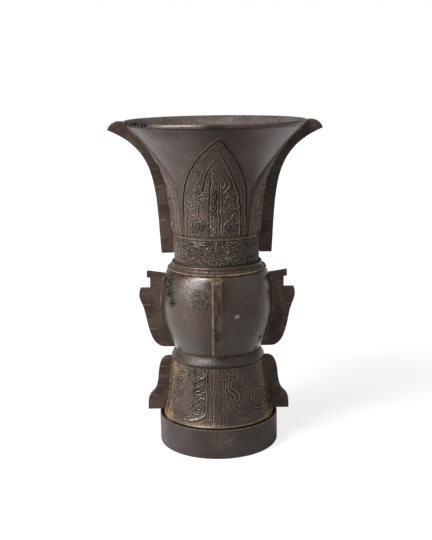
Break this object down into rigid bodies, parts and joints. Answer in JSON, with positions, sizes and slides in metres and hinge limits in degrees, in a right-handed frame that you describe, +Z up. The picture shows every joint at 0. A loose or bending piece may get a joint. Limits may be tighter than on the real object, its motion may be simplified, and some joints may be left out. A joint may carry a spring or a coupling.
{
  "type": "bronze gu vase",
  "caption": "Flared trumpet-mouth bronze gu vase with a round bulb, flared foot, plain plinth ring and upright side flanges, for flowers on an altar or table.",
  "frame": {"origin": "centre of the plinth's underside, on the surface that the vase stands on", "axes": "+Z up along the vase's axis; +X towards the right-hand flanges as seen from the front; -Y towards the front"},
  "size_m": [0.154, 0.1316, 0.24],
  "materials": {
    "bronze_shell": "dark brown patina, rubbed smooth",
    "bronze_ornament": "dark brown patina over cast relief",
    "bronze_flange": "matt dark brown patina",
    "bronze_plinth": "dark brown-grey patina, satin",
    "bronze_floor": "dull grey-green patina"
  },
  "bodies": {
    "root": {"trumpet": "bronze_shell", "neck_ring": "bronze_shell", "bulb": "bronze_shell", "waist_ring": "bronze_shell", "neck_band": "bronze_ornament", "foot": "bronze_ornament", "trumpet_flange_left": "bronze_flange", "trumpet_flange_right": "bronze_flange", "bulb_flange_left": "bronze_flange", "bulb_flange_right": "bronze_flange", "bulb_bar_front": "bronze_flange", "bulb_bar_back": "bronze_flange", "foot_flange_left": "bronze_flange", "foot_flange_right": "bronze_flange", "plinth_ring": "bronze_plinth", "floor_plate": "bronze_floor"}
  },
  "joints": []
}
